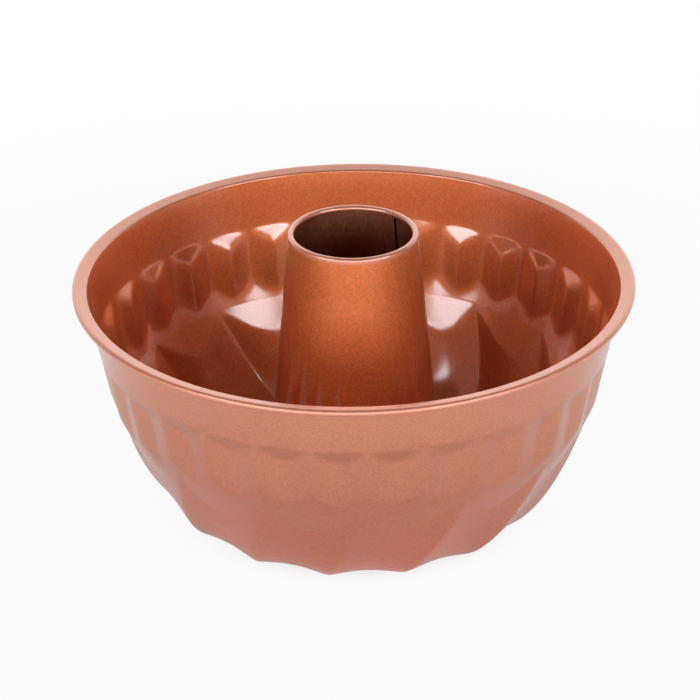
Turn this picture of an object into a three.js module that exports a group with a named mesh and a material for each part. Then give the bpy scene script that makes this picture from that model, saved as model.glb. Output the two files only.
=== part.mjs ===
// Tall fluted ring-cake mould of coated sheet steel, made of two formed sheets:
// a pressed shell with a rolled rim, and a rolled conical tube hemmed into the hole in the shell's floor.
// Millimetres, +Z up. The origin is on the axis, in the plane that the mould stands on.

import * as THREE from 'three';

// Sheet, and the play between the two sheets where they are seamed together
const SHEET = 0.5;
const SEAM_GAP = 0.3;

// Rolled rim: a flat-topped hollow curl, turned outwards, whose cut edge stops short of the wall
const RIM_RADIUS = 115;
const RIM_HEIGHT = 101;
const RIM_WIDTH = 6.2;
const RIM_THICKNESS = 2.4;
const RIM_CORNER = 2;
const RIM_MOUTH = 1.1;

// Smooth band under the rim; tapers are degrees from upright
const BAND_HEIGHT = 22.7;
const BAND_TAPER = 9;

// Belt of narrow flutes: upright edge lines with V-shaped creases pressed in between them
const BELT_HEIGHT = 23.9;
const BELT_TAPER = 10.6;
const FLUTE_DEPTH = 2.3;
const SHOULDER_DROP = 6.4;
const SHOULDER_LEAST = 0.3;

// Plain strip under the belt, which cuts off the flutes' lower ends
const STRIP_HEIGHT = 8;
const STRIP_TAPER = 24;
const TOE_DROP = 5.2;

// Bowl: broad lobes between sharp crests that swirl down to the feet, each with a shoulder at its top
const LOBES = 15;
const LOBE_DEPTH = 2.4;
const LOBE_TWIST = 12.2;
const LOBE_SHOULDER = 14.5;
const CREST_SHOULDER = 3;
const CREST_WIDTH = 0.8;
const BOWL_FULLNESS = 0.54;

// Feet: each crest ends in a small flat that the mould stands on
const FOOT_RADIUS = 65.7;
const FOOT_LENGTH = 6;
const FOOT_WIDTH = 2.4;

// Floor: rises from the feet to a flat land round the hole, whose edge is turned down as a collar
const FLOOR_RISE = 8;
const FLOOR_TWIST = 5;
const FLOOR_LAND = 2.5;
const COLLAR_HEIGHT = 4.4;
const COLLAR_BEND = 0.7;

// Centre tube: a cone with a curl at its top and a hem round the collar at its foot
const TUBE_HEIGHT = 121;
const TUBE_TOP_RADIUS = 26.6;
const TUBE_BASE_RADIUS = 36.8;
const LIP_DIAMETER = 2.6;
const LIP_TURN = 265;
const HEM_HEIGHT = 3;

// Lap where the tube's sheet closes on itself, seen inside the tube
const LAP_ANGLE = 41;
const LAP_WIDTH = 5.4;
const LAP_MARGIN = 2;
const LAP_STEP = 0.2;

// Facets
const ARC_STEPS = 4;
const BOWL_STEPS = 6;
const FLOOR_STEPS = 4;
const LIP_STEPS = 8;
const TUBE_SIDES = 48;

const { degToRad, lerp } = THREE.MathUtils;
const FULL_TURN = 2 * Math.PI;

// Section points have the radius as x and the height as y
const point = (radius, height) => new THREE.Vector2(radius, height);
const tangent = (degrees) => Math.tan(degToRad(degrees));
const lower = (start, drop, taper) => point(start.x - drop * tangent(taper), start.y - drop);

function arc(centre, radius, fromDegrees, toDegrees, steps) {
  const clockwise = toDegrees < fromDegrees;
  const from = degToRad(fromDegrees);
  const to = degToRad(toDegrees);
  return new THREE.EllipseCurve(centre.x, centre.y, radius, radius, from, to, clockwise).getPoints(steps);
}

// A closed body from rings of points on one face of a sheet: the other face lies a thickness behind it,
// and the first and last rings are the sheet's two cut edges.
function sheetBody(rings, thicknessAt) {
  const columns = rings[0].length;
  const lastRow = rings.length - 1;
  const index = (row, column) => row * columns + (column % columns);

  const faceTriangles = [];
  for (let row = 0; row < lastRow; row++) {
    for (let column = 0; column < columns; column++) {
      const a = index(row, column);
      const b = index(row, column + 1);
      const c = index(row + 1, column + 1);
      const d = index(row + 1, column);
      faceTriangles.push([a, d, b], [b, d, c]);
    }
  }
  const face = new THREE.BufferGeometry().setFromPoints(rings.flat());
  face.setIndex(faceTriangles.flat());
  face.computeVertexNormals();

  const normal = new THREE.Vector3();
  const back = rings.flatMap((ring, row) => ring.map((position, column) => {
    normal.fromBufferAttribute(face.attributes.normal, index(row, column));
    return position.clone().addScaledVector(normal, -thicknessAt(row, column));
  }));

  const behind = back.length;
  const backTriangles = faceTriangles.map(([a, b, c]) => [a + behind, c + behind, b + behind]);
  const edgeTriangles = [];
  for (let column = 0; column < columns; column++) {
    const a = index(0, column);
    const b = index(0, column + 1);
    const c = index(lastRow, column + 1);
    const d = index(lastRow, column);
    edgeTriangles.push([a, b, b + behind], [a, b + behind, a + behind]);
    edgeTriangles.push([c, d, d + behind], [c, d + behind, c + behind]);
  }

  const body = new THREE.BufferGeometry().setFromPoints([...rings.flat(), ...back]);
  body.setIndex([...faceTriangles, ...backTriangles, ...edgeTriangles].flat());
  body.computeVertexNormals();
  return body;
}

// Outer radius of the tube's cone, shared by the tube, the collar round it and the hem round that
const tubeSlope = (TUBE_BASE_RADIUS - TUBE_TOP_RADIUS) / (TUBE_HEIGHT - FLOOR_RISE);
const tubeLean = THREE.MathUtils.radToDeg(Math.atan(tubeSlope));
const tubeRadius = (height) => TUBE_BASE_RADIUS - tubeSlope * (height - FLOOR_RISE);
const collarEdge = FLOOR_RISE - COLLAR_HEIGHT;

// Section of the rim along the inside of its curl, from the cut edge to the top of the wall
function rimSection() {
  const rollRadius = RIM_THICKNESS / 2 - SHEET;
  const roll = point(RIM_RADIUS - SHEET - rollRadius, RIM_HEIGHT - RIM_THICKNESS / 2);
  const corner = point(RIM_RADIUS - RIM_WIDTH + RIM_CORNER, RIM_HEIGHT - RIM_CORNER);
  const wall = arc(corner, RIM_CORNER - SHEET, 90, 180 - BAND_TAPER, ARC_STEPS);
  const cutEdge = point(wall.at(-1).x + RIM_MOUTH, roll.y - rollRadius);
  return [cutEdge, ...arc(roll, rollRadius, -90, 90, ARC_STEPS), ...wall];
}

// The shell's outer face as rows of section points. For a phase of the lobe, which runs from 0 on one crest
// to 1 on the next, a row gives its point and its twist about the axis. It also has the width of its crest.
function shellRows() {
  const upright = () => 0;
  const plain = (place, twist = upright, crest = CREST_WIDTH) => ({ at: () => place, twist, crest });
  const flute = (phase) => 1 - Math.abs(1 - ((4 * phase) % 2));
  const valley = (phase) => Math.sin(Math.PI * phase);

  const rim = rimSection();
  const wallTop = rim.at(-1);
  const bandFoot = lower(wallTop, wallTop.y - (RIM_HEIGHT - BAND_HEIGHT), BAND_TAPER);
  const beltFoot = lower(bandFoot, BELT_HEIGHT, BELT_TAPER);
  const bowlTop = lower(beltFoot, STRIP_HEIGHT, STRIP_TAPER);
  const creaseTop = lower(bandFoot, SHOULDER_DROP, BELT_TAPER).sub(point(FLUTE_DEPTH, 0));
  const creaseFoot = lower(beltFoot, TOE_DROP, STRIP_TAPER);
  const shoulderLeast = SHOULDER_LEAST / SHOULDER_DROP;
  const shoulder = (phase) => bandFoot.clone().lerp(creaseTop, Math.max(flute(phase), shoulderLeast));
  const toe = (phase) => beltFoot.clone().lerp(creaseFoot, flute(phase));

  // A point that lies a depth inside the curve of the crests
  const inside = (curve, t, depth) => {
    const along = curve.getTangent(t);
    return curve.getPoint(t).addScaledVector(point(along.y, -along.x), depth);
  };

  const footStart = point(FOOT_RADIUS, 0);
  const footEnd = point(FOOT_RADIUS - FOOT_LENGTH, 0);
  const bowlKnee = point(lerp(FOOT_RADIUS, bowlTop.x, BOWL_FULLNESS), 0);
  const bowl = new THREE.QuadraticBezierCurve(bowlTop, bowlKnee, footStart);
  const swell = (t) => Math.sin((Math.PI / 2) * t);
  const bowlShare = (drop) => 1 - Math.sqrt(1 - drop / bowlTop.y);
  const shoulderFoot = bowlShare(LOBE_SHOULDER);
  const shoulderEnd = (phase) => bowlShare(Math.max(LOBE_SHOULDER * valley(phase), CREST_SHOULDER));
  const lobeShoulder = {
    at: (phase) => inside(bowl, shoulderEnd(phase), LOBE_DEPTH * valley(phase)),
    twist: (phase) => LOBE_TWIST * swell(shoulderEnd(phase)),
    crest: CREST_WIDTH,
  };
  const bowlRows = [];
  for (let step = 1; step <= BOWL_STEPS; step++) {
    const t = lerp(shoulderFoot, 1, step / BOWL_STEPS);
    bowlRows.push({
      at: (phase) => inside(bowl, t, LOBE_DEPTH * valley(phase)),
      twist: () => LOBE_TWIST * swell(t),
      crest: lerp(CREST_WIDTH, FOOT_WIDTH, swell(t)),
    });
  }

  const collarFace = (height) => tubeRadius(height) + SEAM_GAP + SHEET;
  const bend = point(collarFace(FLOOR_RISE) + COLLAR_BEND, FLOOR_RISE - COLLAR_BEND);
  const land = point(bend.x + FLOOR_LAND, FLOOR_RISE);
  const middle = (footEnd.x + land.x) / 2;
  const floor = new THREE.CubicBezierCurve(footEnd, point(middle, 0), point(middle, FLOOR_RISE), land);
  const floorRows = [];
  for (let step = 0; step <= FLOOR_STEPS; step++) {
    const t = step / FLOOR_STEPS;
    floorRows.push({
      at: (phase) => inside(floor, t, LOBE_DEPTH * (1 - t) * valley(phase)),
      twist: () => LOBE_TWIST + FLOOR_TWIST * t,
      crest: FOOT_WIDTH,
    });
  }

  const collar = arc(bend, COLLAR_BEND, 90, 180 - tubeLean, ARC_STEPS);
  collar.push(point(collarFace(collarEdge), collarEdge));
  const collarTwist = () => LOBE_TWIST + FLOOR_TWIST;
  return [
    ...rim.map((place) => plain(place)),
    plain(bandFoot),
    { at: shoulder, twist: upright, crest: CREST_WIDTH },
    { at: toe, twist: upright, crest: CREST_WIDTH },
    plain(bowlTop),
    lobeShoulder,
    ...bowlRows,
    ...floorRows,
    ...collar.map((place) => plain(place, collarTwist, FOOT_WIDTH)),
  ];
}

// Columns of one lobe: the two sides of its crest, then a crease, the edge line between, and a crease
const LOBE_COLUMNS = [
  { phase: 0, side: -1 },
  { phase: 0, side: 1 },
  { phase: 0.25, side: 0 },
  { phase: 0.5, side: 0 },
  { phase: 0.75, side: 0 },
];

function flutedShell() {
  const pitch = FULL_TURN / LOBES;
  const rings = shellRows().map(({ at, twist, crest }) => {
    const ring = [];
    for (let lobe = 0; lobe < LOBES; lobe++) {
      for (const { phase, side } of LOBE_COLUMNS) {
        const { x: radius, y: height } = at(phase);
        const crestSide = (side * crest) / 2 / radius;
        const angle = (lobe + phase) * pitch - degToRad(twist(phase)) + crestSide;
        ring.push(new THREE.Vector3(radius * Math.cos(angle), radius * Math.sin(angle), height));
      }
    }
    return ring;
  });
  return sheetBody(rings, () => SHEET);
}

// Section of the tube along its outer face, from the cut edge of the lip's curl to that of the hem
function tubeSection() {
  const lipRadius = LIP_DIAMETER / 2;
  const lipHeight = TUBE_HEIGHT - lipRadius;
  const lip = point(tubeRadius(lipHeight) - lipRadius / Math.cos(degToRad(tubeLean)), lipHeight);
  const curl = arc(lip, lipRadius, LIP_TURN, tubeLean, LIP_STEPS);

  const turnRadius = SEAM_GAP + SHEET / 2;
  const turn = point(tubeRadius(collarEdge) + turnRadius, collarEdge);
  const hem = arc(turn, turnRadius, 180 + tubeLean, 360 + tubeLean, ARC_STEPS);
  const hemEdge = lower(hem.at(-1), -HEM_HEIGHT, -tubeLean);

  const lapTop = point(tubeRadius(lipHeight - LAP_MARGIN), lipHeight - LAP_MARGIN);
  const lapFoot = point(tubeRadius(FLOOR_RISE + LAP_MARGIN), FLOOR_RISE + LAP_MARGIN);
  return { points: [...curl, lapTop, lapFoot, ...hem, hemEdge], lapTop, lapFoot };
}

function centreTube() {
  const { points, lapTop, lapFoot } = tubeSection();
  const start = degToRad(LAP_ANGLE);
  const lapRows = new Set([points.indexOf(lapTop), points.indexOf(lapFoot)]);

  // The lap is a strip of even width; its two sides each take two columns, for the step in thickness
  const lapColumns = [0, LAP_STEP, LAP_WIDTH - LAP_STEP, LAP_WIDTH];
  const doubled = new Set([1, 2]);
  const rings = points.map(({ x: radius, y: height }) => {
    const angles = lapColumns.map((offset) => start + offset / radius);
    const lapEnd = angles.at(-1);
    const step = (FULL_TURN - (lapEnd - start)) / TUBE_SIDES;
    for (let side = 1; side < TUBE_SIDES; side++) {
      angles.push(lapEnd + side * step);
    }
    return angles.map((angle) => new THREE.Vector3(radius * Math.cos(angle), radius * Math.sin(angle), height));
  });
  return sheetBody(rings, (row, column) => (lapRows.has(row) && doubled.has(column) ? 2 * SHEET : SHEET));
}

function piece(name, geometry, colour, roughness) {
  const material = new THREE.MeshStandardMaterial({ color: colour, roughness, metalness: 0.7 });
  const mesh = new THREE.Mesh(geometry, material);
  mesh.name = name;
  return mesh;
}

const mould = new THREE.Group();
mould.add(piece('fluted_shell', flutedShell(), '#b9683f', 0.35));
mould.add(piece('centre_tube', centreTube(), '#b4643c', 0.4));

export default mould;
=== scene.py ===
"""Looks of a fluted ring-cake mould: a pressed shell and a centre tube in a copper-coloured coating."""

import math

import bpy
import numpy as np
from bpy.props import FloatProperty, FloatVectorProperty, IntProperty, PointerProperty
from mathutils import Matrix, Vector


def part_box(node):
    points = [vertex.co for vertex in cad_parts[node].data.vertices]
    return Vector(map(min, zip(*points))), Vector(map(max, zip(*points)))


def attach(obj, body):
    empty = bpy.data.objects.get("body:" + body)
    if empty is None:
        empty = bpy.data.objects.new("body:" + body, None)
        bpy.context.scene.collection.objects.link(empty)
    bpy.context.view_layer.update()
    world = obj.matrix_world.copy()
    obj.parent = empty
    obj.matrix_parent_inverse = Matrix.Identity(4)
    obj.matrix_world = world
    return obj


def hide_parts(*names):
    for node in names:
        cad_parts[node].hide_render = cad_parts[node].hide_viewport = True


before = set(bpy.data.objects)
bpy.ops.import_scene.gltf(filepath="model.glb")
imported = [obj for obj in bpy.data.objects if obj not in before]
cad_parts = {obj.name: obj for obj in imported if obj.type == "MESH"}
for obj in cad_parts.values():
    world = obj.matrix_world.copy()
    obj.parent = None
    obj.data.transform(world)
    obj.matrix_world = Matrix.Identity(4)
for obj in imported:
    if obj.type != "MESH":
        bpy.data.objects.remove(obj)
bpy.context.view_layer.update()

bl_info = {
    "name": "Fluted ring-cake mould",
    "version": (1, 0, 0),
    "blender": (4, 5, 0),
    "location": "View3D > Sidebar > Mould",
    "description": "Builds the shell, the centre tube and the stage of a fluted ring-cake mould",
    "category": "Object",
}

IMAGE_SIDE = 700
SHELL_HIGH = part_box("fluted_shell")[1]
TUBE_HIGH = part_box("centre_tube")[1]
FULL_TURN = 2 * math.pi
MM = 0.001
SHARP_ANGLE = math.radians(50)
WHITE = (1, 1, 1, 1)
# The last index is for faces that take the near-black painted shade of the tube's lap gap.
OUTER_FACE, INNER_FACE, ROLLED_EDGE, PAINTED_GAP_SHADE = range(4)


def length(name, millimetres, description):
    """A size in metres that a user may change, with its default in millimetres."""
    return FloatProperty(
        name=name, description=description, default=millimetres * MM, min=0.0, precision=5, unit="LENGTH"
    )


def angle(name, degrees, description):
    """An angle that a user may change, with its default in degrees."""
    return FloatProperty(
        name=name, description=description, default=math.radians(degrees), precision=4, subtype="ANGLE"
    )


def share(name, default, description):
    """A number from 0 to 1."""
    return FloatProperty(
        name=name, description=description, default=default, min=0.0, max=1.0, precision=3, subtype="FACTOR"
    )


def number(name, default, description):
    """A plain number that a user may change."""
    return FloatProperty(name=name, description=description, default=default, min=0.0, precision=3)


def colour(name, default, description):
    """A colour in linear light."""
    return FloatVectorProperty(
        name=name, description=description, default=default, size=3, min=0.0, max=1.0, subtype="COLOR"
    )


class SheetSizes(bpy.types.PropertyGroup):
    """Sizes that the shell and the tube share."""

    thickness: length("Sheet", 0.5, "Thickness of the coated steel sheet")
    seam_gap: length("Seam gap", 0.3, "Play between the tube, the collar and the hem")
    floor_rise: length("Floor rise", 8, "Height of the floor's underside round the tube")
    collar_height: length("Collar height", 4.4, "Length of the edge that is turned down round the tube")
    tube_top: length("Tube top radius", 26.6, "Outer radius of the tube's cone at its top")
    tube_base: length("Tube base radius", 36.8, "Outer radius of the tube's cone at the floor")


class ShellSizes(bpy.types.PropertyGroup):
    """Sizes of the pressed shell."""

    rim_width: length("Rim width", 6.1, "Width of the rolled rim")
    rim_thickness: length("Rim thickness", 2.8, "Height of the rolled rim")
    rim_corner: length("Rim corner", 1.0, "Radius of the rim's inner corner")
    rim_slope: angle("Rim slope", 14, "Slope of the rim's top from its bead down to the inner corner")
    rim_mouth: length("Rim mouth", 1.1, "Gap between the rim's cut edge and the wall")
    band_height: length("Band height", 22.7, "Height of the smooth band, rim included")
    band_taper: angle("Band taper", 9, "Lean of the smooth band")
    belt_height: length("Belt height", 23.9, "Height of the belt's edge lines")
    belt_taper: angle("Belt taper", 10.6, "Lean of the belt's edge lines")
    flute_depth: length("Flute depth", 2.3, "Depth of a crease at its top")
    shoulder_drop: length("Shoulder drop", 6.4, "Height of the shoulder over a crease")
    shoulder_outside: number("Shoulder outside", 1.15, "How round the shoulders are outside, 1 is straight")
    shoulder_inside: number("Shoulder inside", 1.0, "How round the shoulders are inside, 1 is straight")
    strip_height: length("Strip height", 8, "Height of the strip under the belt")
    strip_taper: angle("Strip taper", 24, "Lean of the strip")
    strip_foot: length("Strip foot", 0.5, "Height of the steep edge at the strip's foot")
    strip_steep: share("Strip steepness", 0.1, "Share of its lean that the strip loses at its foot")
    toe_drop: length("Toe drop", 5.2, "How far a crease runs into the strip")
    lobes: IntProperty(name="Lobes", description="Lobes round the bowl", default=15, min=3)
    lobe_depth: length("Lobe depth", 2.4, "Depth of the valleys between the crests")
    lobe_twist: angle("Lobe twist", 12.2, "Turn of a crest from the strip to its foot")
    lobe_shoulder: length("Lobe shoulder", 14.5, "Height of the shoulder at the top of a lobe")
    bowl_fullness: share("Bowl fullness", 0.54, "Place of the bowl's knee between foot and strip")
    foot_radius: length("Foot radius", 65.7, "Radius at which the feet begin")
    foot_length: length("Foot length", 6, "Length of a foot")
    floor_twist: angle("Floor twist", 5, "Turn of a crest across the floor")
    floor_land: length("Floor land", 2.5, "Width of the flat round the tube")
    collar_bend: length("Collar bend", 0.7, "Radius of the collar's bend, underneath")
    press_outside: length("Press outside", 0.45, "Softness of the pressed lines on the outside of the wall")
    press_inside: length("Press inside", 0.75, "Softness of the pressed lines on the inside of the wall")
    crease_round: share("Crease round", 0.012, "Softness of the belt's creases")
    flute_swell: number("Flute swell", 1.3, "Roundness of the belt's panels")
    crest_round: share("Crest round", 0.07, "Softness of the lobes' crests")


class TubeSizes(bpy.types.PropertyGroup):
    """Sizes of the centre tube."""

    lip: length("Lip", 2.6, "Thickness of the curl at the top")
    lip_turn: angle("Lip turn", 265, "How far round the curl goes")
    hem_height: length("Hem height", 3, "Length of the hem outside the collar")
    lap_angle: angle("Lap angle", 41, "Place of the lap round the axis")
    lap_width: length("Lap width", 5.4, "Width of the lap")
    lap_margin: length("Lap margin", 2, "Where the lap stops short of the floor")
    lap_gap: length("Lap gap", 0.75, "Width of the gap along the lap's near edge")
    lap_crease: length("Lap crease", 0.7, "Width of the crease along the lap's far edge")


class CoatingLooks(bpy.types.PropertyGroup):
    """Colours and finish of the coating."""

    outside: colour("Outside", (0.64, 0.245, 0.134), "Coating outside the shell")
    inside: colour("Inside", (0.68, 0.21, 0.068), "Coating inside the shell and on the tube")
    edge: colour("Edge", (0.68, 0.262, 0.148), "Coating on the rolled edges")
    # Near-black colour on the faces in the lap's gap: painted shade, where the gap casts its shadow.
    cut: colour("Gap shade", (0.05, 0.018, 0.012), "Near-black painted shade in the gap along the tube's lap")
    outside_flakes: share("Outside flakes", 0.44, "Roughness of the flakes outside the shell")
    inside_flakes: share("Inside flakes", 0.54, "Roughness of the flakes inside the shell and on the tube")
    outside_film: share("Outside film", 0.11, "Roughness of the film outside the shell")
    inside_film: share("Inside film", 0.15, "Roughness of the film inside the shell and on the tube")
    edge_flakes: share("Edge flakes", 0.6, "Roughness of the flakes on the rolled edges")
    edge_film: share("Edge film", 0.28, "Roughness of the film on the rolled edges")
    satin_index: number("Satin index", 1.45, "Refractive index of the satin film")
    edge_index: number("Edge index", 1.75, "Refractive index of the film on the rim")
    gloss_index: number("Gloss index", 2.0, "Refractive index of the glossy film")
    grain: length("Grain", 0.4, "Size of the coating's metallic grain")
    outside_mottle: share("Outside mottle", 0.16, "How far the flakes' tone varies outside the shell")
    inside_mottle: share("Inside mottle", 0.28, "How far the flakes' tone varies inside and on the tube")


class StageLooks(bpy.types.PropertyGroup):
    """Camera and light."""

    azimuth: angle("Azimuth", -8.4, "Camera's place round the mould")
    elevation: angle("Elevation", 26.04, "Camera's height over the rim, as an angle")
    distance: length("Distance", 1070, "Camera's distance from the rim's centre")
    focal: number("Focal length", 134.28, "Focal length of the camera in millimetres")
    roll: angle("Roll", -0.654, "Camera's roll")
    rim_x: number("Rim centre x", 354.4, "Pixels from the picture's left to the rim's centre")
    rim_y: number("Rim centre y", 275.4, "Pixels from the picture's top to the rim's centre")
    floor: colour("Floor", (0.86, 0.86, 0.86), "Colour of the floor")
    floor_side: length("Floor side", 8000, "Side of the square floor")
    back_light: number("Back light", 1.42, "Brightness of the studio behind the mould")
    front_light: number("Front light", 0.06, "Brightness of the studio in front of the mould")
    lamp_turn: angle("Lamp turn", 49, "Angle between the camera and each lamp, seen from above")
    lamp_rise: angle("Lamp rise", 22, "Height of the lamps, as an angle")
    lamp_distance: length("Lamp distance", 1600, "Distance of the lamps")
    lamp_width: length("Lamp width", 810, "Width of a lamp")
    lamp_height: length("Lamp height", 600, "Height of a lamp")
    lamp_colour: colour("Lamp colour", (0.98, 0.95, 1.0), "Colour of the lamps")
    lamp_power: number("Lamp power", 8.8, "Power of a lamp in watts")
    fill_rise: angle("Fill rise", 15, "Height of the front lamp, as an angle")
    fill_width: length("Fill width", 2300, "Width of the front lamp")
    fill_height: length("Fill height", 520, "Height of the front lamp")
    fill_power: number("Fill power", 19.0, "Power of the front lamp in watts")


def soft_max(a, b, softness):
    """The greater of two values, with the change-over rounded."""
    return 0.5 * (a + b + np.sqrt((a - b) ** 2 + softness**2))


def soft_min(a, b, softness):
    """The lesser of two values, with the change-over rounded."""
    return 0.5 * (a + b - np.sqrt((a - b) ** 2 + softness**2))


def arc(centre, radius, start, end, steps):
    """Points of an arc as an array of radius and height, angles in radians."""
    turns = np.linspace(start, end, steps + 1)
    return np.stack([centre[0] + radius * np.cos(turns), centre[1] + radius * np.sin(turns)], axis=1)


def spread(start, end, steps):
    """Values from start to end, closer together near both ends."""
    t = np.linspace(0, 1, steps + 1)
    eased = 0.5 * (t + 0.5 - 0.5 * np.cos(math.pi * t))
    return start + (end - start) * eased


class TubeCone:
    """Outer cone of the tube, which the collar and the hem follow."""

    def __init__(self, sheet):
        self.sheet = sheet
        self.slope = (sheet.tube_base - sheet.tube_top) / (TUBE_HIGH.z - sheet.floor_rise)
        self.lean = math.atan(self.slope)
        self.collar_edge = sheet.floor_rise - sheet.collar_height

    def radius(self, height):
        return self.sheet.tube_base - self.slope * (height - self.sheet.floor_rise)


def offset(rings, thickness):
    """The points that lie a thickness behind a grid of points round the axis."""
    along = np.gradient(rings, axis=0)
    wrapped = np.concatenate([rings[:, -1:], rings, rings[:, :1]], axis=1)
    around = wrapped[:, 2:] - wrapped[:, :-2]
    normal = np.cross(along, around)
    normal /= np.linalg.norm(normal, axis=2, keepdims=True)
    return rings - normal * np.broadcast_to(thickness, rings.shape[:2])[..., None]


def sheet_object(name, rings, back, materials, rolled, cut=0):
    """A closed sheet between a grid of points on its outer face and one on its inner face.

    The materials are those of the outer face, the inner face, the rolled rows at the start and, if the
    sheet has a gap in its inner face, the first columns there, which take a painted shade.
    """
    rows, columns = rings.shape[:2]
    index = np.arange(rows * columns).reshape(rows, columns)
    following = np.roll(index, -1, axis=1)
    front = np.stack([index[:-1], index[1:], following[1:], following[:-1]], axis=-1).reshape(-1, 4)
    behind = front[:, ::-1] + rows * columns
    edges = []
    for row, flip in ((0, 1), (rows - 1, -1)):
        strip = np.stack([index[row], following[row]], axis=-1)
        quads = np.concatenate([strip, strip[:, ::-1] + rows * columns], axis=1)
        edges.append(quads[:, ::flip])
    faces = np.concatenate([front, behind, *edges])

    mesh = bpy.data.meshes.new(name)
    points = np.concatenate([rings.reshape(-1, 3), back.reshape(-1, 3)])
    mesh.from_pydata(points.tolist(), [], faces.tolist())
    for material in materials:
        mesh.materials.append(material)
    sides = np.full(len(faces), OUTER_FACE, np.int32)
    inner = sides[len(front):len(front) + len(behind)].reshape(rows - 1, columns)
    inner[:] = INNER_FACE
    # The first columns of the inner face, in the lap's gap, take the near-black painted shade.
    inner[:, :cut] = PAINTED_GAP_SHADE
    for start in (0, len(front)):
        sides[start:start + rolled * columns] = ROLLED_EDGE
    mesh.polygons.foreach_set("material_index", sides)
    mesh.polygons.foreach_set("use_smooth", np.ones(len(faces), bool))
    mesh.set_sharp_from_angle(angle=SHARP_ANGLE)
    mesh.update()
    piece = bpy.data.objects.new(name, mesh)
    bpy.context.scene.collection.objects.link(piece)
    return piece


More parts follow.
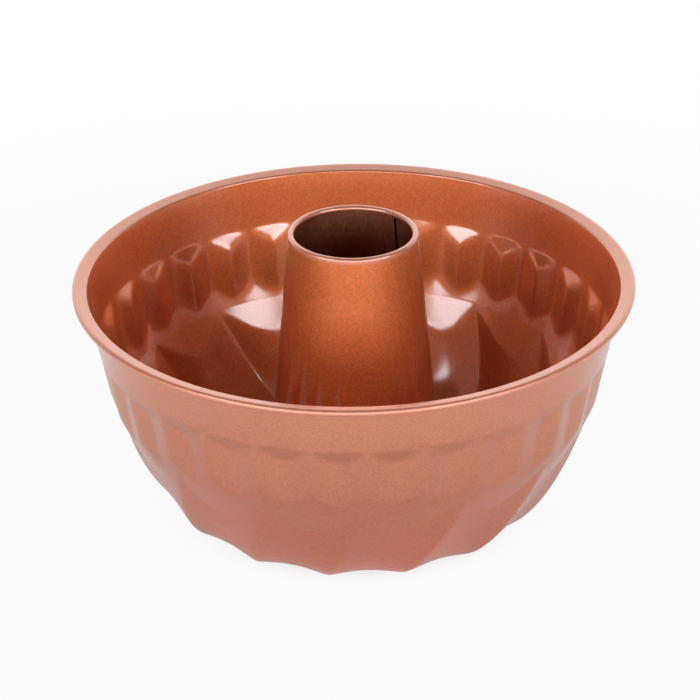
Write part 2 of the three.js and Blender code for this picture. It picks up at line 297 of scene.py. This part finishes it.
class ShellForm:
    """The outer face of the pressed shell as rows of points round the axis."""

    QUARTERS = 4
    QUARTER_COLUMNS = 6
    CURL_STEPS = 11
    CORNER_STEPS = 5
    TOP_STEPS = 4
    UNDER_STEPS = 2
    BAND_ROWS, SHOULDER_ROWS, BELT_ROWS, STRIP_ROWS = 4, 21, 6, 22
    LOBE_ROWS, BOWL_ROWS = 14, 20
    FOOT_STEPS, FLOOR_ROWS, COLLAR_STEPS = 3, 16, 2
    LINE_MARGIN = 2 * MM
    CORNER_MARGIN = 0.3 * MM
    LOBE_REACH = 1.4
    LOBE_START = 0.02
    LOBE_FREE = 2
    LOBE_SOFTNESS = 0.3

    def __init__(self, sizes, sheet, press, curve):
        self.sizes = sizes
        self.sheet = sheet
        self.press = press
        self.curve = curve
        self.cone = TubeCone(sheet)
        self.phases = self.lobe_phases()
        self.rows = []

    def lobe_phases(self):
        """Phases of the columns: closer together at the edge lines and creases, four to a lobe."""
        quarter = spread(0, 1 / self.QUARTERS, self.QUARTER_COLUMNS)[:-1]
        lobe = np.concatenate([quarter + step / self.QUARTERS for step in range(self.QUARTERS)])
        return np.concatenate([lobe + count for count in range(self.sizes.lobes)])

    def add_row(self, radius, height, twist=0.0):
        turn = self.phases * FULL_TURN / self.sizes.lobes - twist
        radius = np.broadcast_to(radius, turn.shape)
        height = np.broadcast_to(height, turn.shape)
        self.rows.append(np.stack([radius * np.cos(turn), radius * np.sin(turn), height], axis=1))

    def rim(self):
        """The rolled rim, from its free edge round the inside of the curl to the top of the wall."""
        s = self.sizes
        roll_radius = s.rim_thickness / 2 - self.sheet.thickness
        roll = (SHELL_HIGH.x - self.sheet.thickness - roll_radius, SHELL_HIGH.z - s.rim_thickness / 2)
        bead = (roll[0], roll[1] + s.rim_thickness / 2 / math.cos(s.rim_slope))
        inset = SHELL_HIGH.x - s.rim_width + s.rim_corner
        fall = (bead[0] - inset) * math.tan(s.rim_slope) + s.rim_corner / math.cos(s.rim_slope)
        corner = (inset, bead[1] - fall)
        start = math.pi / 2 + s.rim_slope
        end = math.pi - s.band_taper
        bend = arc(corner, s.rim_corner - self.sheet.thickness, start, end, self.CORNER_STEPS)
        curl = arc(roll, roll_radius, -math.pi / 2, start, self.CURL_STEPS)
        cut_edge = (bend[-1][0] + s.rim_mouth, roll[1] - roll_radius)
        under = np.linspace(cut_edge, (roll[0], cut_edge[1]), self.UNDER_STEPS + 1)[:-1]
        top = np.linspace(curl[-1], bend[0], self.TOP_STEPS + 1)[1:-1]
        for radius, height in (*under, *curl, *top, *bend):
            self.add_row(radius, height)
        self.rim_rows = len(self.rows) - len(bend) // 2
        return bend[-1]

    def wall(self, top):
        """Band, belt and strip. Each is a cone or a star, and the wall follows whichever bounds it."""
        s = self.sizes
        band_foot = SHELL_HIGH.z - s.band_height
        belt_foot = band_foot - s.belt_height
        strip_foot = belt_foot - s.strip_height
        band_radius = top[0] - (top[1] - band_foot) * math.tan(s.band_taper)
        belt_radius = band_radius - s.belt_height * math.tan(s.belt_taper)
        strip_radius = belt_radius - s.strip_height * math.tan(s.strip_taper)
        strip_slope = (belt_radius - strip_radius) / (s.strip_height - s.strip_steep * s.strip_foot)
        crease_top = band_radius - s.shoulder_drop * math.tan(s.belt_taper) - s.flute_depth
        crease_foot = belt_radius - s.toe_drop * math.tan(s.strip_taper)
        crease_height = s.belt_height - s.shoulder_drop + s.toe_drop
        crease_slope = (crease_top - crease_foot) / crease_height

        wave = np.arccos((1 - s.crease_round) * np.cos(2 * FULL_TURN * self.phases)) / math.pi
        flute = ((wave - wave.min()) / (wave.max() - wave.min())) ** s.flute_swell
        half_pitch = FULL_TURN / s.lobes / self.QUARTERS
        shoulder_start = band_foot + self.LINE_MARGIN
        shoulder_end = band_foot - s.shoulder_drop - self.LINE_MARGIN / 2
        strip_start = belt_foot + self.LINE_MARGIN
        heights = np.concatenate([
            np.linspace(top[1] - self.CORNER_MARGIN, shoulder_start, self.BAND_ROWS),
            np.linspace(shoulder_start, shoulder_end, self.SHOULDER_ROWS + 1)[1:],
            np.linspace(shoulder_end, strip_start, self.BELT_ROWS + 1)[1:],
            np.linspace(strip_start, strip_foot, self.STRIP_ROWS + 1)[1:],
        ])
        for height in heights:
            band = top[0] - (top[1] - height) * math.tan(s.band_taper)
            edge = band_radius - (band_foot - height) * math.tan(s.belt_taper)
            crease = crease_top - (band_foot - s.shoulder_drop - height) * crease_slope
            chord = (edge + crease) / 2 * (1 - math.cos(half_pitch / 2)) * 4 * flute * (1 - flute)
            star = edge + (crease - edge) * flute - chord
            fall = (band_foot - height) / s.shoulder_drop
            curved = fall**self.curve if fall > 0 else fall
            shoulder = band_radius - (band_radius - crease_top) * curved
            drop = belt_foot - height
            steep = max(0.0, drop - s.strip_height + s.strip_foot)
            strip = belt_radius - (drop - s.strip_steep * steep) * strip_slope
            radius = soft_max(star, shoulder, self.press)
            radius = soft_min(radius, band, self.press / 2)
            radius = soft_min(radius, strip, self.press)
            self.add_row(radius, height)
        self.settled = radius - strip_radius
        return strip_radius, strip_foot

    def lobed_row(self, place, direction, depth, twist, most=math.inf, settled=0.0):
        """A row across the lobes: the crest stays on the section, the valley lies a depth inside it.

        At the top of a lobe its valley goes no deeper than most, a share of the depth. Settled is how far
        the row lies outside the section.
        """
        softness = self.sizes.crest_round
        valley = np.sqrt(np.sin(math.pi * self.phases) ** 2 + softness**2) - softness
        if most < self.LOBE_FREE:
            softness = min(softness, self.LOBE_SOFTNESS * most)
            valley = soft_min(valley, most, softness) - soft_min(0, most, softness)
        inward = np.array([direction[1], -direction[0]]) / np.linalg.norm(direction)
        sunk = depth * valley
        radius = place[0] + inward[0] * sunk + settled
        self.add_row(radius, np.maximum(place[1] + inward[1] * sunk, 0), twist)

    def bowl(self, top):
        """The bowl's swirling lobes, from the strip to the feet."""
        s = self.sizes
        start = np.array(top)
        end = np.array([s.foot_radius, 0.0])
        knee = np.array([s.foot_radius + (top[0] - s.foot_radius) * s.bowl_fullness, 0.0])
        shoulder = 1 - math.sqrt(1 - s.lobe_shoulder / top[1])
        reach = self.LOBE_REACH * shoulder
        shares = np.concatenate([
            [self.LOBE_START * shoulder],
            np.linspace(0, reach, self.LOBE_ROWS + 1)[1:],
            np.linspace(reach, 1, self.BOWL_ROWS + 1)[1:],
        ])
        for t in shares:
            place = (1 - t) ** 2 * start + 2 * t * (1 - t) * knee + t**2 * end
            direction = (1 - t) * (knee - start) + t * (end - knee)
            swell = math.sin(math.pi / 2 * t)
            settled = self.settled * (1 - t) ** 2
            self.lobed_row(place, direction, s.lobe_depth, s.lobe_twist * swell, t / shoulder, settled)

    def floor(self):
        """The feet, the rise of the floor and the collar that is turned down round the tube."""
        s = self.sizes
        rise = self.sheet.floor_rise
        gap = self.sheet.seam_gap + self.sheet.thickness
        bend = (self.cone.radius(rise) + gap + s.collar_bend, rise - s.collar_bend)
        foot_end = s.foot_radius - s.foot_length
        land = bend[0] + s.floor_land
        twist = s.lobe_twist
        for radius in np.linspace(s.foot_radius, foot_end, self.FOOT_STEPS + 1)[1:-1]:
            self.lobed_row((radius, 0.0), (-1.0, 0.0), s.lobe_depth, twist)
        middle = (foot_end + land) / 2
        for t in np.linspace(0, 1, self.FLOOR_ROWS):
            weights = ((1 - t) ** 3, 3 * t * (1 - t) ** 2, 3 * t**2 * (1 - t), t**3)
            radius = np.dot(weights, (foot_end, middle, middle, land))
            height = np.dot(weights, (0, 0, rise, rise))
            direction = (-1.0, rise * 6 * t * (1 - t) / (foot_end - land))
            self.lobed_row((radius, height), direction, s.lobe_depth * (1 - t), twist + s.floor_twist * t)
        twist += s.floor_twist
        self.add_row((land + bend[0]) / 2, rise, twist)
        end = math.pi - self.cone.lean
        for radius, height in arc(bend, s.collar_bend, math.pi / 2, end, self.CORNER_STEPS):
            self.add_row(radius, height, twist)
        for height in np.linspace(bend[1], self.cone.collar_edge, self.COLLAR_STEPS + 1)[1:]:
            self.add_row(self.cone.radius(height) + gap, height, twist)

    def rings(self):
        self.bowl(self.wall(self.rim()))
        self.floor()
        return np.stack(self.rows)


class TubeForm:
    """The outer face of the centre tube as rows of points round the axis, with its thickness."""

    SIDES = 160
    CURL_STEPS, WALL_STEPS, HEM_STEPS, EDGE_STEPS = 24, 48, 10, 3
    GAP_COLUMNS = 3
    GAP_SHARE, CREASE_SHARE, NOTCH_SHARE = 0.75, 0.4, 0.12
    EDGE_WIDTH = 0.08 * MM

    def __init__(self, sizes, sheet):
        self.sizes = sizes
        self.sheet = sheet
        self.cone = TubeCone(sheet)

    def section(self):
        """Section from the free edge of the lip's curl, down the cone, to the free edge of the hem."""
        s = self.sizes
        lean = self.cone.lean
        lip_radius = s.lip / 2
        lip_height = TUBE_HIGH.z - lip_radius
        lip = (self.cone.radius(lip_height) - lip_radius / math.cos(lean), lip_height)
        curl = arc(lip, lip_radius, s.lip_turn, lean, self.CURL_STEPS)
        turn_radius = self.sheet.seam_gap + self.sheet.thickness / 2
        turn = (self.cone.radius(self.cone.collar_edge) + turn_radius, self.cone.collar_edge)
        hem = arc(turn, turn_radius, math.pi + lean, FULL_TURN + lean, self.HEM_STEPS)
        heights = spread(curl[-1][1], hem[0][1], self.WALL_STEPS)[1:-1]
        wall = np.stack([self.cone.radius(heights), heights], axis=1)
        rise = np.linspace(0, s.hem_height, self.EDGE_STEPS + 1)[1:]
        edge = np.stack([hem[-1][0] - rise * self.cone.slope, hem[-1][1] + rise], axis=1)
        return np.concatenate([curl, wall, hem, edge]), len(curl), np.array(lip)

    def rings(self):
        """Rows of points with their thickness.

        The lap is a double sheet, with a gap along one edge and a crease along the other. Both are places
        where the sheet is thinner than usual. The gap crosses the lip as a shallow notch.
        """
        s = self.sizes
        section, self.lip_rows, lip = self.section()
        step = self.EDGE_WIDTH
        edge = s.lap_gap + step
        far = s.lap_width + step
        gap = [-edge - step, -edge, -step]
        lap = [0, s.lap_width / 2, s.lap_width]
        crease = [far, far + s.lap_crease, far + s.lap_crease + step]
        offsets = np.array([*gap, *lap, *crease])
        sunk_gap = [0, -self.GAP_SHARE, -self.GAP_SHARE]
        sunk_crease = [-self.CREASE_SHARE, -self.CREASE_SHARE, 0]
        added = np.array([*sunk_gap, 1, 1, 1, *sunk_crease])
        low = self.sheet.floor_rise + s.lap_margin
        rings = []
        thickness = []
        for row, place in enumerate(section):
            lapped = s.lap_angle + offsets / place[0]
            plain = np.linspace(lapped[-1], lapped[0] + FULL_TURN, self.SIDES)[1:-1]
            turns = np.concatenate([lapped, plain])
            points = np.repeat(place[None], len(turns), axis=0)
            if row < self.lip_rows:
                points[1:self.GAP_COLUMNS] += (lip - place) * self.NOTCH_SHARE
            radius = points[:, 0]
            rings.append(np.stack([radius * np.cos(turns), radius * np.sin(turns), points[:, 1]], axis=1))
            doubled = np.zeros(turns.shape)
            if row >= self.lip_rows and place[1] >= low:
                doubled[:len(added)] = added
            thickness.append(self.sheet.thickness * (1 + doubled))
        return np.stack(rings), np.stack(thickness)


class Value:
    """A socket that Python expressions are written with. Each operation adds a node to its tree."""

    def __init__(self, tree, socket):
        self.tree = tree
        self.socket = socket

    def math(self, operation, first, second):
        return self.tree.value("ShaderNodeMath", 0, {"operation": operation}, {0: first, 1: second})

    def __add__(self, other):
        return self.math("ADD", self, other)

    def __radd__(self, other):
        return self.math("ADD", other, self)

    def __sub__(self, other):
        return self.math("SUBTRACT", self, other)

    def __rsub__(self, other):
        return self.math("SUBTRACT", other, self)

    def __mul__(self, other):
        return self.math("MULTIPLY", self, other)

    def __rmul__(self, other):
        return self.math("MULTIPLY", other, self)

    def __neg__(self):
        return self.math("MULTIPLY", self, -1.0)

    def between(self, low, high):
        """Eased step: 0 at the first value, 1 at the second."""
        return self.tree.value(
            "ShaderNodeMapRange", 0, {"interpolation_type": "SMOOTHSTEP"},
            {"Value": self, "From Min": low, "From Max": high},
        )


class Tree:
    """A node tree with one way to add a node: its type, its settings, then its inputs."""

    def __init__(self, tree):
        self.tree = tree
        tree.nodes.clear()

    def node(self, kind, settings=None, inputs=None):
        node = self.tree.nodes.new(kind)
        for name, setting in (settings or {}).items():
            setattr(node, name, setting)
        for name, given in (inputs or {}).items():
            if isinstance(given, Value):
                self.tree.links.new(given.socket, node.inputs[name])
            else:
                node.inputs[name].default_value = given
        return node

    def value(self, kind, output, settings=None, inputs=None):
        return Value(self, self.node(kind, settings, inputs).outputs[output])

    def blend(self, factor, first, second):
        """A colour between two colours."""
        return self.value("ShaderNodeMix", 2, {"data_type": "RGBA"}, {0: factor, 6: first, 7: second})

    def layer(self, factor, first, second):
        """A shader between two shaders."""
        return self.value("ShaderNodeMixShader", 0, None, {0: factor, 1: first, 2: second})

    def noise(self, place, size, detail):
        """Soft noise with features of a size."""
        inputs = {"Vector": place, "Scale": 1 / size, "Detail": detail}
        return self.value("ShaderNodeTexNoise", 0, None, inputs)


def tinted(base, factor):
    """A colour made lighter or darker, with its alpha."""
    return (*(min(1.0, channel * factor) for channel in base), 1.0)


def looks():
    """The add-on's settings on the scene."""
    return bpy.context.scene.mould


CLOUD_GRAINS, BROAD_GRAINS = 3, 60
CLOUD_DETAIL, BROAD_DETAIL = 3.0, 2.0
CLOUD_RANGE = (0.3, 0.7)
FLAKE_TONE, CLOUD_TONE, BROAD_TONE = 0.45, 0.3, 0.25
CLOUD_HEIGHT, FLAKE_HEIGHT = 0.6, 0.4
BUMP_DISTANCE, BUMP_STRENGTH = 0.01 * MM, 0.4
ROUGHNESS_RANGE = 0.1


def coating(name, base, mottle, roughness, film, index):
    """Copper-coloured coating: metal flakes of uneven tone under a clear film of a given roughness."""
    material = bpy.data.materials.new(name)
    material.use_nodes = True
    tree = Tree(material.node_tree)
    grain = looks().coating.grain
    place = tree.value("ShaderNodeTexCoord", "Object")
    cells = tree.value("ShaderNodeTexVoronoi", "Color", None, {"Vector": place, "Scale": 1 / grain})
    flake = tree.value("ShaderNodeSeparateColor", "Red", None, {"Color": cells})
    cloud = tree.noise(place, CLOUD_GRAINS * grain, CLOUD_DETAIL).between(*CLOUD_RANGE)
    broad = tree.noise(place, BROAD_GRAINS * grain, BROAD_DETAIL)
    tone = FLAKE_TONE * flake + CLOUD_TONE * cloud + BROAD_TONE * broad
    height = CLOUD_HEIGHT * cloud + FLAKE_HEIGHT * flake
    relief = {"Height": height, "Distance": BUMP_DISTANCE, "Strength": BUMP_STRENGTH}
    bump = tree.value("ShaderNodeBump", 0, None, relief)
    surface = tree.value("ShaderNodeBsdfPrincipled", 0, None, {
        "Base Color": tree.blend(tone, tinted(base, 1 - mottle), tinted(base, 1 + mottle)),
        "Metallic": 1.0,
        "Roughness": roughness - ROUGHNESS_RANGE / 2 + ROUGHNESS_RANGE * cloud,
        "Normal": bump,
        "Coat Weight": 1.0,
        "Coat Roughness": film,
        "Coat IOR": index,
    })
    tree.node("ShaderNodeOutputMaterial", None, {"Surface": surface})
    return material


def satin_coating(name):
    """Satin coating, as outside the shell and in the tube's bore."""
    finish = looks().coating
    flakes = (finish.outside, finish.outside_mottle, finish.outside_flakes)
    return coating(name, *flakes, finish.outside_film, finish.satin_index)


def gloss_coating(name):
    """Glossy coating, as inside the shell and outside the tube."""
    finish = looks().coating
    flakes = (finish.inside, finish.inside_mottle, finish.inside_flakes)
    return coating(name, *flakes, finish.inside_film, finish.gloss_index)


def edge_coating(name, base, film, index):
    """Coating on a rolled edge, with coarse flakes under a film of its own; in the tube's lap gap it is
    near-black painted shade.
    """
    finish = looks().coating
    return coating(name, base, finish.outside_mottle, finish.edge_flakes, film, index)


class MOULD_OT_fluted_shell(bpy.types.Operator):
    """Make the pressed shell with its rolled rim, flutes, lobes and floor."""

    bl_idname = "mould.fluted_shell"
    bl_label = "Fluted shell"

    def execute(self, context):
        settings = looks()
        finish = settings.coating
        outside = satin_coating("coating_outside")
        inside = gloss_coating("coating_inside")
        edge = edge_coating("coating_edge", finish.edge, finish.edge_film, finish.edge_index)
        sizes = settings.shell
        outer = ShellForm(sizes, settings.sheet, sizes.press_outside, sizes.shoulder_outside)
        inner = ShellForm(sizes, settings.sheet, sizes.press_inside, sizes.shoulder_inside)
        rings = outer.rings()
        back = offset(inner.rings(), settings.sheet.thickness)
        shell = sheet_object("pressed_shell", rings, back, [outside, inside, edge], outer.rim_rows)
        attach(shell, "root")
        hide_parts("fluted_shell")
        return {"FINISHED"}


class MOULD_OT_centre_tube(bpy.types.Operator):
    """Make the conical centre tube with its curled lip, its lap and its hem."""

    bl_idname = "mould.centre_tube"
    bl_label = "Centre tube"

    def execute(self, context):
        settings = looks()
        finish = settings.coating
        outside = gloss_coating("tube_outside")
        bore = satin_coating("tube_bore")
        lip = edge_coating("tube_lip", finish.edge, finish.inside_film, finish.gloss_index)
        # Near-black material for the lap's gap: painted shade where the gap's shadow falls.
        cut = edge_coating("tube_painted_gap_shade", finish.cut, finish.edge_film, finish.satin_index)
        form = TubeForm(settings.tube, settings.sheet)
        rings, thickness = form.rings()
        back = offset(rings, thickness)
        materials = [outside, bore, lip, cut]
        tube = sheet_object("rolled_tube", rings, back, materials, form.lip_rows, form.GAP_COLUMNS)
        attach(tube, "root")
        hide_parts("centre_tube")
        return {"FINISHED"}


CONTACT_FADE = (30 * MM, 80 * MM)
SHADE_FADE = (200 * MM, 500 * MM)
MIRROR_FADE = (125 * MM, 240 * MM)
SHADE_SHARE = 0.08
MIRROR_SHARE = 0.93


def floor_material(base):
    """Pale floor: white to the camera and in reflections, with part of the shadow, clear from below.

    Each fade gives two distances from the mould's axis, where the white begins and where it is full.
    """
    material = bpy.data.materials.new("pale_floor")
    material.use_nodes = True
    tree = Tree(material.node_tree)
    diffuse = tree.value("ShaderNodeBsdfDiffuse", 0, None, {"Color": (*base, 1.0)})
    white = tree.value("ShaderNodeEmission", 0, None, {"Color": WHITE, "Strength": 1.0})
    place = tree.value("ShaderNodeTexCoord", "Object")
    away = tree.value("ShaderNodeVectorMath", "Value", {"operation": "LENGTH"}, {0: place})
    path = tree.node("ShaderNodeLightPath")
    camera = Value(tree, path.outputs["Is Camera Ray"])
    glossy = Value(tree, path.outputs["Is Glossy Ray"])
    shown = (1 - SHADE_SHARE) * away.between(*CONTACT_FADE) + SHADE_SHARE * away.between(*SHADE_FADE)
    seen = camera * shown + MIRROR_SHARE * glossy * away.between(*MIRROR_FADE)
    below = tree.value("ShaderNodeNewGeometry", "Backfacing")
    clear = tree.value("ShaderNodeBsdfTransparent", 0)
    surface = tree.layer(below, tree.layer(seen, diffuse, white), clear)
    tree.node("ShaderNodeOutputMaterial", None, {"Surface": surface})
    return material


BACK_FADE = (0.15, 0.7)
TOP_FADE = (0.7, 0.9)
TOP_REACH = (-0.35, 0.1)
TOP_SHARE = 0.1


def studio_world(stage):
    """Studio round the mould: pale behind it, dimmer in front of it and overhead, white to the camera.

    Each pair is the part of a direction that points back or up where pale begins and where it is full.
    """
    world = bpy.data.worlds.new("studio")
    world.use_nodes = True
    bpy.context.scene.world = world
    tree = Tree(world.node_tree)
    direction = tree.value("ShaderNodeTexCoord", "Generated")
    height = tree.value("ShaderNodeSeparateXYZ", "Z", None, {"Vector": direction})
    front = (math.sin(stage.azimuth), -math.cos(stage.azimuth), 0.0)
    product = {"operation": "DOT_PRODUCT"}
    facing = tree.value("ShaderNodeVectorMath", "Value", product, {0: direction, 1: front})
    behind = (-facing).between(*BACK_FADE)
    above = height.between(*TOP_FADE) * (-facing).between(*TOP_REACH)
    pale = behind + TOP_SHARE * (1 - behind) * above
    camera = tree.value("ShaderNodeLightPath", "Is Camera Ray")
    white = tree.value("ShaderNodeBackground", 0, None, {"Color": WHITE, "Strength": 1.0})
    bright = tree.value("ShaderNodeBackground", 0, None, {"Color": WHITE, "Strength": stage.back_light})
    dim = tree.value("ShaderNodeBackground", 0, None, {"Color": WHITE, "Strength": stage.front_light})
    surface = tree.layer(camera, tree.layer(pale, dim, bright), white)
    tree.node("ShaderNodeOutputWorld", None, {"Surface": surface})


def towards(azimuth, elevation):
    """Direction from the mould to a place in front of it, at an angle round it and over it."""
    flat = math.cos(elevation)
    return Vector((math.sin(azimuth) * flat, -math.cos(azimuth) * flat, math.sin(elevation)))


def studio_camera(stage):
    """Camera whose frame puts the rim's centre on its pixel, with no lens shift."""
    data = bpy.data.cameras.new("camera")
    data.lens = stage.focal
    data.sensor_width = 36
    data.clip_start = 0.01
    camera = bpy.data.objects.new("camera", data)
    bpy.context.scene.collection.objects.link(camera)
    rim = Vector((0, 0, SHELL_HIGH.z))
    away = towards(stage.azimuth, stage.elevation)
    pixels = IMAGE_SIDE * stage.focal / data.sensor_width
    right = math.atan((stage.rim_x - IMAGE_SIDE / 2) / pixels)
    up = math.atan((IMAGE_SIDE / 2 - stage.rim_y) / pixels)
    turn = (-away).to_track_quat("-Z", "Y").to_matrix()
    centred = Matrix.Rotation(right, 3, "Y") @ Matrix.Rotation(-up, 3, "X")
    aim = turn @ centred @ Matrix.Rotation(stage.roll, 3, "Z")
    camera.matrix_world = Matrix.Translation(rim + away * stage.distance) @ aim.to_4x4()
    bpy.context.scene.camera = camera


def softbox(name, stage, turn, rise, size, power):
    """Soft lamp in front of the mould, at an angle from the camera and over the floor."""
    data = bpy.data.lights.new(name, "AREA")
    data.shape = "RECTANGLE"
    data.size, data.size_y = size
    data.energy = power
    data.color = stage.lamp_colour
    away = towards(stage.azimuth + turn, rise)
    lamp = bpy.data.objects.new(name, data)
    lamp.location = away * stage.lamp_distance
    lamp.rotation_euler = (-away).to_track_quat("-Z", "Y").to_euler()
    bpy.context.scene.collection.objects.link(lamp)


class MOULD_OT_stage(bpy.types.Operator):
    """Make the floor, the studio light and the camera."""

    bl_idname = "mould.stage"
    bl_label = "Stage"

    def execute(self, context):
        stage = looks().stage
        scene = context.scene
        scene.view_settings.view_transform = "Standard"
        mesh = bpy.data.meshes.new("floor")
        half = stage.floor_side / 2
        corners = [(-half, -half, 0), (half, -half, 0), (half, half, 0), (-half, half, 0)]
        mesh.from_pydata(corners, [], [(0, 1, 2, 3)])
        mesh.materials.append(floor_material(stage.floor))
        floor = bpy.data.objects.new("floor", mesh)
        scene.collection.objects.link(floor)
        studio_world(stage)
        side = (stage.lamp_width, stage.lamp_height)
        softbox("left_softbox", stage, -stage.lamp_turn, stage.lamp_rise, side, stage.lamp_power)
        softbox("right_softbox", stage, stage.lamp_turn, stage.lamp_rise, side, stage.lamp_power)
        wide = (stage.fill_width, stage.fill_height)
        softbox("front_fill", stage, 0, stage.fill_rise, wide, stage.fill_power)
        studio_camera(stage)
        return {"FINISHED"}


class MouldSettings(bpy.types.PropertyGroup):
    """All settings of the mould."""

    sheet: PointerProperty(type=SheetSizes)
    shell: PointerProperty(type=ShellSizes)
    tube: PointerProperty(type=TubeSizes)
    coating: PointerProperty(type=CoatingLooks)
    stage: PointerProperty(type=StageLooks)


class MOULD_PT_panel(bpy.types.Panel):
    """Lists the mould's pieces and the stage."""

    bl_label = "Ring-cake mould"
    bl_idname = "MOULD_PT_panel"
    bl_space_type = "VIEW_3D"
    bl_region_type = "UI"
    bl_category = "Mould"

    def draw(self, context):
        for operator in OPERATORS:
            self.layout.operator(operator.bl_idname)


OPERATORS = (MOULD_OT_stage, MOULD_OT_fluted_shell, MOULD_OT_centre_tube)
CLASSES = (
    SheetSizes, ShellSizes, TubeSizes, CoatingLooks, StageLooks, MouldSettings, *OPERATORS, MOULD_PT_panel
)


def register():
    for item in CLASSES:
        bpy.utils.register_class(item)
    bpy.types.Scene.mould = PointerProperty(type=MouldSettings)


def unregister():
    del bpy.types.Scene.mould
    for item in reversed(CLASSES):
        bpy.utils.unregister_class(item)


def main():
    register()
    bpy.ops.mould.stage()
    bpy.ops.mould.fluted_shell()
    bpy.ops.mould.centre_tube()


if __name__ == "__main__":
    main()
